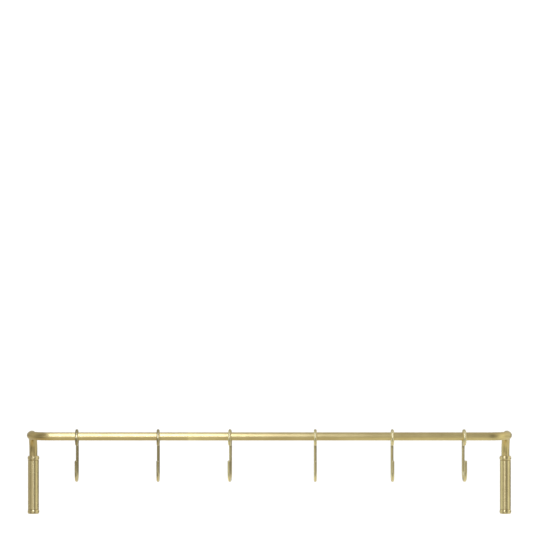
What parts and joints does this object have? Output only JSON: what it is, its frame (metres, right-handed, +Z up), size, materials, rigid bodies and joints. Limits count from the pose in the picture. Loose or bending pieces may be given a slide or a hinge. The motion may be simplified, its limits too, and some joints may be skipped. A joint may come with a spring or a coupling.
{
  "type": "kitchen utensil rail",
  "caption": "Bent brass rod rail that stands in tubular wall holders and carries sliding wire hooks for hanging kitchen utensils.",
  "frame": {"origin": "centre of the four keyholes, on the line where the holders' tubes come nearest the wall", "axes": "+X along the rail to the right, +Y towards the wall, +Z up"},
  "size_m": [0.6046, 0.0852, 0.1089],
  "materials": {
    "rail_brass": "satin drawn rod, unlacquered",
    "holder_brass": "turned and polished, unlacquered",
    "hook_brass": "drawn wire, slightly dulled"
  },
  "bodies": {
    "rail_and_holders": {"rail": "rail_brass", "left_holder": "holder_brass", "right_holder": "holder_brass"},
    "hook_1": {"hook_1": "hook_brass"},
    "hook_2": {"hook_2": "hook_brass"},
    "hook_3": {"hook_3": "hook_brass"},
    "hook_4": {"hook_4": "hook_brass"},
    "hook_5": {"hook_5": "hook_brass"},
    "hook_6": {"hook_6": "hook_brass"}
  },
  "joints": [
    {"name": "hook_1_slide", "type": "slide", "parent": "rail_and_holders", "child": "hook_1", "axis": [1, 0, 0], "range_m": [-0.028, 0.091]},
    {"name": "hook_2_slide", "type": "slide", "parent": "rail_and_holders", "child": "hook_2", "axis": [1, 0, 0], "range_m": [-0.091, 0.08]},
    {"name": "hook_3_slide", "type": "slide", "parent": "rail_and_holders", "child": "hook_3", "axis": [1, 0, 0], "range_m": [-0.08, 0.096]},
    {"name": "hook_4_slide", "type": "slide", "parent": "rail_and_holders", "child": "hook_4", "axis": [1, 0, 0], "range_m": [-0.096, 0.086]},
    {"name": "hook_5_slide", "type": "slide", "parent": "rail_and_holders", "child": "hook_5", "axis": [1, 0, 0], "range_m": [-0.086, 0.08]},
    {"name": "hook_6_slide", "type": "slide", "parent": "rail_and_holders", "child": "hook_6", "axis": [1, 0, 0], "range_m": [-0.08, 0.025]}
  ]
}
